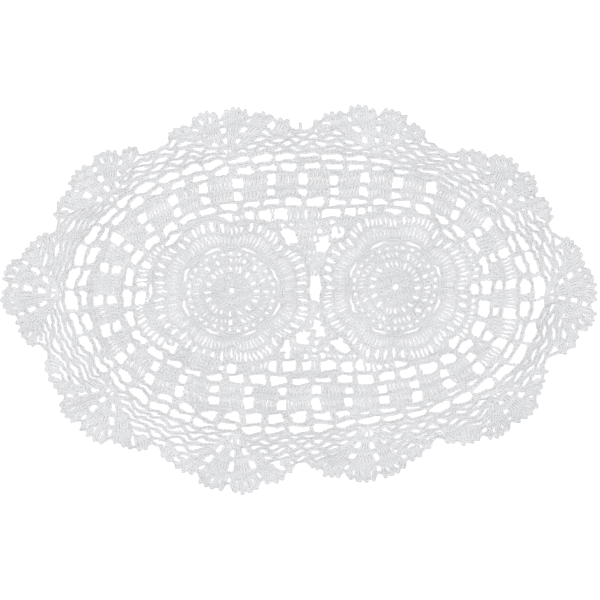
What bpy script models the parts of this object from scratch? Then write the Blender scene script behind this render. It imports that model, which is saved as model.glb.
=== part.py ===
"""Oval crochet doily of cotton thread, lying flat.

Two round motifs lie side by side in a ground of chain meshes. Around them run a band of stitch
blocks in two rows, two rounds of open mesh, and ten fan-shaped scallops edged with picots. The
doily is worked in one piece, so it is one flat solid. Each gap wider than about 4 mm goes right
through it, and the outline is as uneven as a hand-worked edge.

Sizes are in millimetres until the curve is made. A place is given on a base oval: its turn is
the way round from the right-hand tip, counter-clockwise, from 0 to 1, and its rise is the
distance outward from the oval.
"""
import math
import random

import bpy
import numpy as np

MM = 0.001

# Sheet and thread
THICKNESS = 2.0
UNEVENNESS = 0.22
SEED = 11

# Base oval: the middle of the band of blocks
OVAL_HALF_LENGTH = 150.2
OVAL_HALF_WIDTH = 80.8
OVAL_SQUARENESS = 2.5
OVAL_SAMPLES = 4000
ROUND_SAMPLES = 601
TANGENT_REACH = 1.2

# Ground, one row for each twentieth of the way round. Rises of the inner mesh, of the middle of
# the block band and of the two outer meshes, and how far the band's gaps have drifted round.
#         inner mesh    band   outer mesh A  outer mesh B  drift
GROUND = (
    (-18.1, -9.1, 1.1, 14.3, 21.1, 22.7, 31.7, 1.5),
    (-15.1, -10.6, -0.4, 11.3, 14.3, 16.6, 21.1, 0.0),
    (-13.6, -8.3, 2.3, 12.8, 15.1, 16.6, 19.6, -1.0),
    (-10.6, -5.7, 2.6, 14.3, 16.6, 18.1, 21.1, -1.0),
    (-15.1, -9.1, 0.0, 12.1, 15.1, 18.1, 21.9, 0.0),
    (-16.6, -10.6, -1.1, 9.8, 15.1, 20.4, 24.2, -1.5),
    (-17.4, -11.3, -1.9, 10.6, 15.9, 17.4, 21.9, -1.0),
    (-16.6, -12.1, -2.6, 9.8, 13.6, 16.6, 21.9, 0.0),
    (-21.9, -15.1, -5.3, 8.3, 12.8, 15.1, 19.6, 3.0),
    (-21.9, -15.9, -5.3, 7.6, 11.3, 15.9, 21.1, 4.5),
    (-19.6, -12.8, 0.0, 13.6, 19.6, 22.7, 31.7, 3.0),
    (-17.4, -12.1, 0.0, 13.6, 17.4, 18.9, 23.4, 0.0),
    (-15.1, -11.3, 0.0, 11.3, 15.1, 18.1, 24.2, -1.0),
    (-12.1, -7.6, 1.5, 15.1, 18.9, 22.7, 27.2, 1.0),
    (-16.6, -9.1, 0.0, 12.8, 19.6, 23.4, 27.2, 2.5),
    (-15.9, -11.3, -0.4, 11.3, 18.1, 20.4, 25.7, 4.5),
    (-15.9, -10.6, -0.8, 10.6, 14.3, 16.6, 21.1, 7.5),
    (-15.1, -8.3, 1.5, 11.3, 15.1, 16.6, 21.9, 8.5),
    (-13.6, -7.6, 2.3, 12.8, 15.1, 16.6, 23.4, 10.0),
    (-17.4, -9.1, 1.5, 13.6, 16.6, 18.1, 25.7, 7.0),
)
INNER_IN, INNER_OUT, BAND, MESH_A_IN, MESH_A_OUT, MESH_B_IN, MESH_B_OUT, DRIFT = range(8)

MESH_LEAN = 1.6
LEAN_SHARES = (-1.0, -0.4, 0.5, 1.0)

# Block band: gaps between the blocks, in two rows
BLOCKS = 32
BAND_START = 0.0045
BAND_GAP = 7.2
BAND_GAP_SPREAD = 0.7
BAND_GAP_LEAN = 1.0
BAND_OUTER = (1.9, 8.6)
BAND_INNER = (-7.2, -2.2)

# Larger gaps of the second mesh round inside: turn, width, rise of the inner and outer side
SECOND_MESH = (
    (0.004, 7.0, -25.5, -19.3),
    (0.097, 9.5, -21.9, -16.6),
    (0.161, 7.0, -19.4, -13.0),
    (0.204, 9.0, -23.4, -18.2),
    (0.222, 11.0, -24.9, -18.9),
    (0.272, 9.0, -27.2, -19.5),
    (0.290, 8.5, -27.0, -19.8),
    (0.332, 8.0, -24.9, -19.8),
    (0.404, 9.0, -31.0, -25.0),
    (0.509, 9.5, -30.2, -22.7),
    (0.602, 7.5, -24.2, -19.6),
    (0.675, 7.5, -21.9, -16.8),
    (0.7175, 7.0, -27.8, -20.0),
    (0.7345, 9.0, -27.8, -20.6),
    (0.7515, 5.5, -27.9, -21.2),
    (0.775, 10.0, -27.2, -21.2),
    (0.7925, 7.5, -25.7, -19.9),
    (0.8075, 6.5, -27.2, -19.6),
    (0.8505, 8.5, -22.7, -17.6),
    (0.9235, 7.5, -23.4, -18.5),
)

# Gaps where the two motifs are joined: centre across and along, width, height, lean
JOINS = (
    (-13.2, 42.7, 12.0, 7.0, 0.0),
    (22.3, 44.0, 4.2, 9.0, 0.1),
    (13.2, 34.7, 8.0, 9.0, 0.2),
    (7.9, 1.5, 5.2, 18.0, 0.1),
    (-1.9, -34.0, 8.0, 6.0, 0.3),
    (11.6, -29.4, 5.6, 10.5, -0.4),
    (-13.2, -42.0, 4.6, 7.0, 0.0),
    (29.1, -41.5, 9.6, 9.6, 0.0),
)

# Motifs: centre across and along, stretch across and along
MOTIFS = (
    (-55.5, -0.5, 1.06, 0.96),
    (68.6, 2.6, 1.0, 1.0),
)
EYE_RADIUS = 2.6
EYE_SIDES = 8
WHEEL_GAPS = 16
WHEEL_IN = 15.0
WHEEL_OUT = 20.2
WHEEL_SHARE = 0.66

# Scallops, one row each: the turn and rise of the fan's base, the turn and rise of the valley
# after it, and its shells, counter-clockwise. A shell has the angle and reach of its top, then
# the angle and reach of the notch after it. Angles are in degrees from the fan's axis, which
# stands square to the oval. The last shell has no notch, because it ends at the valley.
SCALLOPS = (
    (0.000, 30.2, 0.038, 43.8, (
        (-71, 50.0, -66, 47.5), (-56, 45.9, -50, 39.5), (-30, 44.0, -18, 36.3),
        (4, 40.1, 30, 35.0), (42, 40.2, 56, 42.0), (64, 41.5, 0, 0))),
    (0.073, 19.6, 0.1235, 38.0, (
        (-50, 43.0, -37, 31.9), (-13, 36.2, 4, 30.2), (24, 37.0, 49, 35.0),
        (58, 43.1, 68, 45.6), (72, 47.4, 0, 0))),
    (0.184, 23.4, 0.2460, 41.8, (
        (-50, 40.8, -42, 32.3), (-17, 37.8, 2, 30.2), (22, 39.5, 41, 37.9),
        (52, 46.0, 63, 49.3), (67, 51.5, 0, 0))),
    (0.319, 22.7, 0.3765, 40.6, (
        (-62, 47.0, -56, 43.8), (-43, 41.9, -34, 33.0), (-12, 37.7, 9, 30.5),
        (25, 39.6, 47, 36.9), (56, 46.4, 0, 0))),
    (0.425, 19.6, 0.4625, 44.6, (
        (-51, 43.7, -44, 34.5), (-20, 40.3, -6, 33.3), (14, 38.5, 35, 35.6),
        (44, 42.3, 56, 45.7), (61, 46.8, 0, 0))),
    (0.502, 33.2, 0.5355, 50.2, (
        (-73, 43.4, -65, 43.7), (-54, 42.6, -41, 39.6), (-21, 45.6, -8, 38.1),
        (8, 44.9, 27, 39.0), (38, 42.6, 52, 44.0), (58, 43.6, 0, 0))),
    (0.578, 24.9, 0.6235, 50.6, (
        (-68, 52.2, -62, 51.0), (-52, 48.4, -43, 39.4), (-22, 44.5, -6, 35.6),
        (12, 43.7, 33, 38.5), (47, 46.4, 56, 49.1), (62, 50.2, 0, 0))),
    (0.6865, 28.7, 0.7485, 48.0, (
        (-66, 54.8, -60, 52.0), (-47, 49.1, -40, 41.2), (-16, 46.1, -3, 38.5),
        (16, 45.4, 35, 39.7), (44, 47.7, 57, 47.6), (61, 49.7, 0, 0))),
    (0.8085, 23.4, 0.8655, 42.8, (
        (-57, 49.2, -52, 46.3), (-37, 45.2, -31, 37.5), (-7, 41.8, 10, 35.2),
        (25, 42.0, 46, 38.4), (54, 45.9, 63, 46.4), (67, 48.8, 0, 0))),
    (0.921, 25.7, 0.9565, 43.6, (
        (-77, 50.9, -72, 48.0), (-61, 45.2, -49, 35.0), (-27, 37.1, -9, 29.0),
        (13, 34.6, 39, 33.6), (52, 38.1, 65, 40.1), (69, 41.4, 0, 0))),
)
PICOT_PITCH = 6.0
PICOT_DEPTH = 1.4
PICOT_TIP = 0.2
PICOT_UNEVENNESS = 0.3
SHELL_ROUNDING = 0.45
SHELL_SQUARENESS = 2.5
SHELL_FULLNESS = 0.94
SHELL_LEAST_HEIGHT = 2.2
END_SHELL_LEAST = 6.0
FAN_GAPS = 3
FAN_GAP_REACH = 0.70
FAN_GAP_LENGTH = 6.2
FAN_GAP_WIDTH = 4.2
VALLEY_PICOT_TURN = 0.254
VALLEY_PICOT_HEIGHT = 6.5
VALLEY_PICOT_WIDTH = 3.0
VALLEY_PICOT_TIP = 1.2
VALLEY_PICOT_AFTER = 2

# A rounded four-sided gap, across and along, from 0 to 1
GAP_SHAPE = (
    (0.15, 0.0), (0.85, 0.0), (1.0, 0.3), (1.0, 0.7),
    (0.85, 1.0), (0.15, 1.0), (0.0, 0.7), (0.0, 0.3),
)
SMALL_GAP_SHAPE = ((0.2, 0.0), (0.8, 0.0), (1.0, 0.5), (0.8, 1.0), (0.2, 1.0), (0.0, 0.5))

# Rounds of mesh: number of gaps, turn of the first one, the ground's columns of its inner and
# outer side, width of the wall between two gaps, and the gaps' shape
MESH_ROUNDS = (
    (42, 0.0045, INNER_IN, INNER_OUT, 4.2, GAP_SHAPE),
    (50, 0.0040, MESH_A_IN, MESH_A_OUT, 3.2, SMALL_GAP_SHAPE),
    (50, 0.0045, MESH_B_IN, MESH_B_OUT, 3.2, GAP_SHAPE),
)

COTTON_COLOUR = (0.70, 0.70, 0.725, 1.0)
COTTON_ROUGHNESS = 0.85


def clear_scene():
    for thing in list(bpy.data.objects):
        bpy.data.objects.remove(thing, do_unlink=True)


def signed_power(value, power):
    return np.sign(value) * np.abs(value) ** power


def sample_oval():
    """Points, outward directions and length so far, evenly enough round the base oval."""
    angle = np.linspace(0.0, 2.0 * math.pi, OVAL_SAMPLES)
    across = OVAL_HALF_LENGTH * signed_power(np.cos(angle), 2.0 / OVAL_SQUARENESS)
    along = OVAL_HALF_WIDTH * signed_power(np.sin(angle), 2.0 / OVAL_SQUARENESS)
    steps = np.hypot(np.diff(across), np.diff(along))
    length = np.concatenate([[0.0], np.cumsum(steps)])
    return across, along, length


OVAL_X, OVAL_Y, OVAL_LENGTH = sample_oval()
OVAL_GIRTH = float(OVAL_LENGTH[-1])


def on_oval(turn):
    length = (turn % 1.0) * OVAL_GIRTH
    return np.array([np.interp(length, OVAL_LENGTH, OVAL_X), np.interp(length, OVAL_LENGTH, OVAL_Y)])


def outward(turn):
    """The unit direction square to the oval, away from its middle."""
    reach = TANGENT_REACH / OVAL_GIRTH
    ahead = on_oval(turn + reach) - on_oval(turn - reach)
    ahead = ahead / np.hypot(*ahead)
    return np.array([ahead[1], -ahead[0]])


def place(turn, rise):
    return on_oval(turn) + rise * outward(turn)


def ground(column, turn):
    """A value of the ground table at any turn, between its rows."""
    rows = len(GROUND)
    values = [row[column] for row in GROUND] + [GROUND[0][column]]
    return float(np.interp(turn % 1.0, np.arange(rows + 1) / rows, values))


def even_turns(count, start, rise_at):
    """Turns that part a round into so many cells of like length, the first one around start."""
    fine = np.linspace(0.0, 1.0, ROUND_SAMPLES)
    path = np.array([place(turn, rise_at(turn)) for turn in fine])
    length = np.concatenate([[0.0], np.cumsum(np.hypot(*np.diff(path, axis=0).T))])
    cell = length[-1] / count
    first = np.interp(start, fine, length) - cell / 2.0
    marks = first + cell * np.arange(count + 1)
    laps = np.floor(marks / length[-1])
    return np.interp(marks - laps * length[-1], length, fine) + laps


def jitter(chance):
    return np.array([chance.uniform(-UNEVENNESS, UNEVENNESS), chance.uniform(-UNEVENNESS, UNEVENNESS)])


def ring_gap(turn, width, rise_in, rise_out, lean, chance, shape=GAP_SHAPE):
    """A gap of a round: its middle, width along the round, inner and outer rise, and lean."""
    points = []
    for across, along in shape:
        shift = ((across - 0.5) * width + (along - 0.5) * lean) / OVAL_GIRTH
        point = place(turn + shift, rise_in + along * (rise_out - rise_in))
        points.append(point + jitter(chance))
    return points


def mesh_round(count, start, inner, outer, wall, shape, chance):
    """The gaps of one round of mesh, a wall of thread apart."""
    turns = even_turns(count, start, lambda turn: 0.5 * (ground(inner, turn) + ground(outer, turn)))
    gaps = []
    for first, last in zip(turns[:-1], turns[1:]):
        middle = 0.5 * (first + last)
        rise = 0.5 * (ground(inner, middle) + ground(outer, middle))
        stretch = np.hypot(*(place(last, rise) - place(first, rise))) / ((last - first) * OVAL_GIRTH)
        width = (last - first) * OVAL_GIRTH - wall / stretch
        lean = MESH_LEAN * chance.choice(LEAN_SHARES)
        low = ground(inner, middle)
        high = ground(outer, middle)
        gaps.append(ring_gap(middle, width, low, high, lean, chance, shape))
    return gaps


def band_gaps(chance):
    """The gaps between the blocks, in the inner and the outer row."""
    gaps = []
    for number in range(BLOCKS):
        turn = BAND_START + number / BLOCKS
        turn += (ground(DRIFT, turn) + chance.uniform(-BAND_GAP_SPREAD, BAND_GAP_SPREAD)) / OVAL_GIRTH
        middle = ground(BAND, turn)
        for low, high in (BAND_INNER, BAND_OUTER):
            width = BAND_GAP + chance.uniform(-BAND_GAP_SPREAD, BAND_GAP_SPREAD)
            lean = chance.uniform(-BAND_GAP_LEAN, BAND_GAP_LEAN)
            gap = ring_gap(turn, width, middle + low, middle + high, lean, chance, SMALL_GAP_SHAPE)
            gaps.append(gap)
    return gaps


def join_gaps(chance):
    gaps = []
    for x, y, width, height, lean in JOINS:
        points = []
        for across, along in GAP_SHAPE:
            rise = (along - 0.5) * height
            point = np.array([x + (across - 0.5) * width + lean * rise, y + rise])
            points.append(point + jitter(chance))
        gaps.append(points)
    return gaps


def motif_point(motif, angle, radius):
    x, y, wide, tall = motif
    return np.array([x + wide * radius * math.cos(angle), y + tall * radius * math.sin(angle)])


def motif_gaps(motif, chance):
    """The eye in the middle of a motif and the ring of gaps around its solid heart."""
    eye = [motif_point(motif, 2.0 * math.pi * side / EYE_SIDES, EYE_RADIUS) for side in range(EYE_SIDES)]
    gaps = [eye]
    pitch = 2.0 * math.pi / WHEEL_GAPS
    for number in range(WHEEL_GAPS):
        points = []
        for across, along in SMALL_GAP_SHAPE:
            angle = pitch * (number + (across - 0.5) * WHEEL_SHARE)
            point = motif_point(motif, angle, WHEEL_IN + along * (WHEEL_OUT - WHEEL_IN))
            points.append(point + jitter(chance))
        gaps.append(points)
    return gaps


def fan_point(turn, base, angle, reach):
    """A point of a scallop's fan, by its angle from the fan's axis and its reach from the base."""
    axis = outward(turn)
    heading = math.atan2(axis[1], axis[0]) + math.radians(angle)
    return place(turn, base) + reach * np.array([math.cos(heading), math.sin(heading)])


def fan_gaps(scallop, chance):
    """The largest gaps of a scallop, one below each of its deepest notches."""
    turn, base, _, _, shells = scallop
    notches = sorted(shells[:-1], key=lambda shell: shell[3])[:FAN_GAPS]
    gaps = []
    for _, _, angle, reach in notches:
        middle = reach * FAN_GAP_REACH
        points = []
        for across, along in SMALL_GAP_SHAPE:
            radius = middle + (along - 0.5) * FAN_GAP_LENGTH
            side = math.degrees((across - 0.5) * FAN_GAP_WIDTH / middle)
            points.append(fan_point(turn, base, angle + side, radius) + jitter(chance))
        gaps.append(points)
    return gaps


def shell_points(first, last, top, chance):
    """One shell standing on the chord between two notches: a full, rounded arc of small picots."""
    chord = last - first
    width = float(np.hypot(*chord))
    onward = chord / width
    out = np.array([onward[1], -onward[0]])
    middle = 0.5 * (first + last)
    height = max(float(np.dot(top - middle, out)), SHELL_LEAST_HEIGHT)
    picots = max(1, round(width / PICOT_PITCH))
    span = width * SHELL_FULLNESS
    points = []
    for number in range(picots):
        across = (number + 0.5) / picots - 0.5
        rise = height * (1.0 - SHELL_ROUNDING * abs(2.0 * across) ** SHELL_SQUARENESS)
        rise += chance.uniform(-PICOT_UNEVENNESS, PICOT_UNEVENNESS)
        for side in (-PICOT_TIP, PICOT_TIP):
            points.append(middle + (across + side / picots) * span * onward + rise * out)
        if number < picots - 1:
            dip = rise - PICOT_DEPTH
            points.append(middle + (across + 0.5 / picots) * span * onward + dip * out)
    return points


def even_foot(notch, top, valley):
    """The foot of an end shell on its valley's side, as far from the top as the notch is."""
    away = valley - notch
    room = float(np.hypot(*away))
    onward = away / room
    return notch + onward * min(room, max(2.0 * float(np.dot(top - notch, onward)), END_SHELL_LEAST))


def outline(chance):
    """The whole edge, scallop by scallop, counter-clockwise."""
    points = []
    for number, (turn, base, valley_turn, valley_rise, shells) in enumerate(SCALLOPS):
        before = SCALLOPS[number - 1]
        tops = [fan_point(turn, base, shell[0], shell[1]) for shell in shells]
        notches = [fan_point(turn, base, shell[2], shell[3]) for shell in shells[:-1]]
        valley = place(valley_turn, valley_rise)
        first = even_foot(notches[0], tops[0], points[-1] if points else place(before[2], before[3]))
        last = even_foot(notches[-1], tops[-1], valley)
        feet = [first] + notches + [last]
        points.append(first)
        for left, right, top in zip(feet[:-1], feet[1:], tops):
            points += shell_points(left, right, top, chance)
            points.append(right)
        points.append(valley)
        if number == VALLEY_PICOT_AFTER:
            points += valley_picot(valley_rise)
    return points


def valley_picot(rise):
    """The lone picot that stands in the valley at the top centre."""
    foot = 0.5 * VALLEY_PICOT_WIDTH / OVAL_GIRTH
    tip = 0.5 * VALLEY_PICOT_TIP / OVAL_GIRTH
    high = rise + VALLEY_PICOT_HEIGHT
    return [
        place(VALLEY_PICOT_TURN - foot, rise),
        place(VALLEY_PICOT_TURN - tip, high),
        place(VALLEY_PICOT_TURN + tip, high),
        place(VALLEY_PICOT_TURN + foot, rise),
    ]


def all_gaps(chance):
    """Every gap that is cut through, under three hundred in all."""
    gaps = band_gaps(chance)
    for count, start, inner, outer, wall, shape in MESH_ROUNDS:
        gaps += mesh_round(count, start, inner, outer, wall, shape, chance)
    for turn, width, rise_in, rise_out in SECOND_MESH:
        gaps.append(ring_gap(turn, width, rise_in, rise_out, 0.0, chance))
    gaps += join_gaps(chance)
    for motif in MOTIFS:
        gaps += motif_gaps(motif, chance)
    for scallop in SCALLOPS:
        gaps += fan_gaps(scallop, chance)
    return gaps


def cotton():
    material = bpy.data.materials.new("cotton_thread")
    material.use_nodes = True
    shader = material.node_tree.nodes["Principled BSDF"]
    shader.inputs["Base Color"].default_value = COTTON_COLOUR
    shader.inputs["Roughness"].default_value = COTTON_ROUGHNESS
    shader.inputs["Metallic"].default_value = 0.0
    return material


def add_loop(curve, points):
    spline = curve.splines.new("POLY")
    spline.points.add(len(points) - 1)
    for knot, (x, y) in zip(spline.points, points):
        knot.co = (x * MM, y * MM, 0.0, 1.0)
    spline.use_cyclic_u = True


def build_doily():
    """The flat sheet: the edge and every gap as loops of one filled curve."""
    chance = random.Random(SEED)
    edge = outline(chance)
    gaps = all_gaps(chance)
    lowest = np.min(edge, axis=0)
    highest = np.max(edge, axis=0)
    middle = (lowest + highest) / 2.0

    curve = bpy.data.curves.new("doily", "CURVE")
    curve.dimensions = "2D"
    curve.fill_mode = "BOTH"
    curve.extrude = THICKNESS * MM / 2.0
    for loop in [edge] + gaps:
        add_loop(curve, np.array(loop) - middle)

    doily = bpy.data.objects.new("doily", curve)
    doily.location.z = THICKNESS * MM / 2.0
    doily.data.materials.append(cotton())
    return doily


def main():
    clear_scene()
    collection = bpy.data.collections.new("crochet_doily")
    bpy.context.scene.collection.children.link(collection)
    collection.objects.link(build_doily())


main()
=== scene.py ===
"""Oval crochet doily of cotton thread, worked stitch by stitch over its flat solid.

Every strand is a closed tube of thread. A chain is one thread, each loop drawn through the one
before it. An upright stitch is one thread that goes up, over and down again, with a wrap round
its middle. The rounds run between the gaps that are cut in the solid.

Sizes are in millimetres until the meshes are made. A place is given on a base oval: its turn is
the way round from the right-hand tip, counter-clockwise, from 0 to 1, and its rise is the
distance outward from the oval. Angles in a scallop are in degrees from its fan's axis.
"""
import math
import random

import bpy
import numpy as np
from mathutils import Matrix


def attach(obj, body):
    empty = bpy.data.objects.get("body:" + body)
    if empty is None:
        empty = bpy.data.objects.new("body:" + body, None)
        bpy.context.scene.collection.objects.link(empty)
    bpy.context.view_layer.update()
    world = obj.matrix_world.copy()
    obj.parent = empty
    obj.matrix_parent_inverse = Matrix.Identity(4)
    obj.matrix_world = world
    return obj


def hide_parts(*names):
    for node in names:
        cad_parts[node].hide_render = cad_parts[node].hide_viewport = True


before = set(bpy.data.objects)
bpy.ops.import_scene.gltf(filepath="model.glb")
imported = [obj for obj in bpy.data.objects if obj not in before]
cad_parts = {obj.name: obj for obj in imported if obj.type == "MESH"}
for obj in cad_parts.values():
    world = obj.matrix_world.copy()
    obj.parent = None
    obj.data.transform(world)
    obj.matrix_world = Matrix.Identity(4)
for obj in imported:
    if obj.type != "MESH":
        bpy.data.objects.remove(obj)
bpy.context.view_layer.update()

MM = 0.001
SEED = 23

# Thread
THREAD_RADIUS = 0.74
THREAD_SIDES = 4
PLIES = 3
PLY_LAY = 2.4
MIDDLE_HEIGHT = 1.15

# Chain: length of one stitch, half its width and height, and how far the last loop reaches on
CHAIN_PITCH = 2.8
CHAIN_HALF_WIDTH = 0.95
CHAIN_HALF_HEIGHT = 0.40
CHAIN_REACH = 0.35
CHAIN_SPREAD = 0.12

# The thread's way through one chain stitch: along in stitches, across and up in halves
CHAIN_STITCH = (
    (0.00, -0.20, -0.30),
    (0.35, -0.85, 0.70),
    (0.80, -1.02, 0.90),
    (1.20, -0.62, 0.25),
    (1.22, 0.62, 0.15),
    (0.80, 1.02, 0.90),
    (0.35, 0.85, 0.70),
    (0.02, 0.32, -0.15),
    (-0.10, 0.00, -0.75),
    (0.50, 0.00, -1.00),
)

# Upright stitch: distance between two, half its width and height
POST_PITCH = 2.75
POST_HALF_WIDTH = 0.62
POST_HALF_HEIGHT = 0.42
POST_SPREAD = 0.18

# The thread's way up, over and down an upright stitch: share of its length, millimetres beyond
# that, across and up in halves
POST_STITCH = (
    (0.00, -0.9, -0.50, -0.70),
    (0.00, -0.2, -1.00, 0.30),
    (0.20, 0.0, -0.90, 0.75),
    (0.45, 0.0, 0.00, 0.75),
    (0.70, 0.0, 0.90, 0.60),
    (1.00, 0.1, 0.60, 0.60),
    (1.00, 0.8, 0.00, 0.20),
    (1.00, 0.1, -0.60, -0.20),
    (0.70, 0.0, -0.90, -0.30),
    (0.45, 0.0, 0.00, -0.45),
    (0.20, 0.0, 0.90, -0.30),
    (0.00, -0.2, 1.00, -0.10),
    (0.00, -0.9, 0.40, -0.80),
)
WRAP_STITCH = (
    (0.40, 0.0, 1.15, -0.50),
    (0.46, 0.0, 0.85, 0.90),
    (0.58, 0.0, -0.85, 0.90),
    (0.64, 0.0, -1.15, -0.50),
)

# Hand-worked unevenness: length and size of the waves that shift all the thread, and how many
# waves there are of each
WARP = ((46.0, 0.55), (19.0, 0.42), (7.5, 0.32))
WARP_WAVES = 4

# Base oval: the middle of the band of blocks, and the middle of the sheet on it
OVAL_HALF_LENGTH = 150.2
OVAL_HALF_WIDTH = 80.8
OVAL_SQUARENESS = 2.5
OVAL_SAMPLES = 4000
TANGENT_REACH = 1.2
SHEET_MIDDLE = (-3.747, -6.467)

# Ground, one row for each twentieth of the way round. Rises of the inner mesh, of the middle of
# the block band and of the two outer meshes.
#         inner mesh    band   outer mesh A  outer mesh B
GROUND = (
    (-18.1, -9.1, 1.1, 14.3, 21.1, 22.7, 31.7),
    (-15.1, -10.6, -0.4, 11.3, 14.3, 16.6, 21.1),
    (-13.6, -8.3, 2.3, 12.8, 15.1, 16.6, 19.6),
    (-10.6, -5.7, 2.6, 14.3, 16.6, 18.1, 21.1),
    (-15.1, -9.1, 0.0, 12.1, 15.1, 18.1, 21.9),
    (-16.6, -10.6, -1.1, 9.8, 15.1, 20.4, 24.2),
    (-17.4, -11.3, -1.9, 10.6, 15.9, 17.4, 21.9),
    (-16.6, -12.1, -2.6, 9.8, 13.6, 16.6, 21.9),
    (-21.9, -15.1, -5.3, 8.3, 12.8, 15.1, 19.6),
    (-21.9, -15.9, -5.3, 7.6, 11.3, 15.9, 21.1),
    (-19.6, -12.8, 0.0, 13.6, 19.6, 22.7, 31.7),
    (-17.4, -12.1, 0.0, 13.6, 17.4, 18.9, 23.4),
    (-15.1, -11.3, 0.0, 11.3, 15.1, 18.1, 24.2),
    (-12.1, -7.6, 1.5, 15.1, 18.9, 22.7, 27.2),
    (-16.6, -9.1, 0.0, 12.8, 19.6, 23.4, 27.2),
    (-15.9, -11.3, -0.4, 11.3, 18.1, 20.4, 25.7),
    (-15.9, -10.6, -0.8, 10.6, 14.3, 16.6, 21.1),
    (-15.1, -8.3, 1.5, 11.3, 15.1, 16.6, 21.9),
    (-13.6, -7.6, 2.3, 12.8, 15.1, 16.6, 23.4),
    (-17.4, -9.1, 1.5, 13.6, 16.6, 18.1, 25.7),
)
INNER_IN, INNER_OUT, BAND, MESH_A_IN, MESH_A_OUT, MESH_B_IN, MESH_B_OUT = range(7)
BAND_OUTER = (1.9, 8.6)
BAND_INNER = (-7.2, -2.2)

# Larger gaps of the second mesh round inside: turn, width, rise of the inner and outer side
SECOND_MESH = (
    (0.004, 7.0, -25.5, -19.3),
    (0.097, 9.5, -21.9, -16.6),
    (0.161, 7.0, -19.4, -13.0),
    (0.204, 9.0, -23.4, -18.2),
    (0.222, 11.0, -24.9, -18.9),
    (0.272, 9.0, -27.2, -19.5),
    (0.290, 8.5, -27.0, -19.8),
    (0.332, 8.0, -24.9, -19.8),
    (0.404, 9.0, -31.0, -25.0),
    (0.509, 9.5, -30.2, -22.7),
    (0.602, 7.5, -24.2, -19.6),
    (0.675, 7.5, -21.9, -16.8),
    (0.7175, 7.0, -27.8, -20.0),
    (0.7345, 9.0, -27.8, -20.6),
    (0.7515, 5.5, -27.9, -21.2),
    (0.775, 10.0, -27.2, -21.2),
    (0.7925, 7.5, -25.7, -19.9),
    (0.8075, 6.5, -27.2, -19.6),
    (0.8505, 8.5, -22.7, -17.6),
    (0.9235, 7.5, -23.4, -18.5),
)

# Motifs: centre across and along, stretch across and along
MOTIFS = (
    (-55.5, -0.5, 1.06, 0.96),
    (68.6, 2.6, 1.0, 1.0),
)

# Scallops, one row each: the turn and rise of the fan's base, the turn and rise of the valley
# after it, and its shells, counter-clockwise. A shell has the angle and reach of its top, then
# the angle and reach of the notch after it. The last shell ends at the valley.
SCALLOPS = (
    (0.000, 30.2, 0.038, 43.8, (
        (-71, 50.0, -66, 47.5), (-56, 45.9, -50, 39.5), (-30, 44.0, -18, 36.3),
        (4, 40.1, 30, 35.0), (42, 40.2, 56, 42.0), (64, 41.5, 0, 0))),
    (0.073, 19.6, 0.1235, 38.0, (
        (-50, 43.0, -37, 31.9), (-13, 36.2, 4, 30.2), (24, 37.0, 49, 35.0),
        (58, 43.1, 68, 45.6), (72, 47.4, 0, 0))),
    (0.184, 23.4, 0.2460, 41.8, (
        (-50, 40.8, -42, 32.3), (-17, 37.8, 2, 30.2), (22, 39.5, 41, 37.9),
        (52, 46.0, 63, 49.3), (67, 51.5, 0, 0))),
    (0.319, 22.7, 0.3765, 40.6, (
        (-62, 47.0, -56, 43.8), (-43, 41.9, -34, 33.0), (-12, 37.7, 9, 30.5),
        (25, 39.6, 47, 36.9), (56, 46.4, 0, 0))),
    (0.425, 19.6, 0.4625, 44.6, (
        (-51, 43.7, -44, 34.5), (-20, 40.3, -6, 33.3), (14, 38.5, 35, 35.6),
        (44, 42.3, 56, 45.7), (61, 46.8, 0, 0))),
    (0.502, 33.2, 0.5355, 50.2, (
        (-73, 43.4, -65, 43.7), (-54, 42.6, -41, 39.6), (-21, 45.6, -8, 38.1),
        (8, 44.9, 27, 39.0), (38, 42.6, 52, 44.0), (58, 43.6, 0, 0))),
    (0.578, 24.9, 0.6235, 50.6, (
        (-68, 52.2, -62, 51.0), (-52, 48.4, -43, 39.4), (-22, 44.5, -6, 35.6),
        (12, 43.7, 33, 38.5), (47, 46.4, 56, 49.1), (62, 50.2, 0, 0))),
    (0.6865, 28.7, 0.7485, 48.0, (
        (-66, 54.8, -60, 52.0), (-47, 49.1, -40, 41.2), (-16, 46.1, -3, 38.5),
        (16, 45.4, 35, 39.7), (44, 47.7, 57, 47.6), (61, 49.7, 0, 0))),
    (0.8085, 23.4, 0.8655, 42.8, (
        (-57, 49.2, -52, 46.3), (-37, 45.2, -31, 37.5), (-7, 41.8, 10, 35.2),
        (25, 42.0, 46, 38.4), (54, 45.9, 63, 46.4), (67, 48.8, 0, 0))),
    (0.921, 25.7, 0.9565, 43.6, (
        (-77, 50.9, -72, 48.0), (-61, 45.2, -49, 35.0), (-27, 37.1, -9, 29.0),
        (13, 34.6, 39, 33.6), (52, 38.1, 65, 40.1), (69, 41.4, 0, 0))),
)
PICOT_PITCH = 6.0
SHELL_ROUNDING = 0.45
SHELL_SQUARENESS = 2.5
SHELL_FULLNESS = 0.94
SHELL_LEAST_HEIGHT = 2.2
END_SHELL_LEAST = 6.0

# Camera and picture
PICTURE_PIXELS = 600
MM_PER_PIXEL = 0.755
SHEET_MIDDLE_PIXEL = (299.5, 299.6)
LENS = 200.0
SENSOR = 36.0


def unit(vectors):
    return vectors / np.maximum(np.linalg.norm(vectors, axis=-1, keepdims=True), 1e-9)


def signed_power(value, power):
    return np.sign(value) * np.abs(value) ** power


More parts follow.
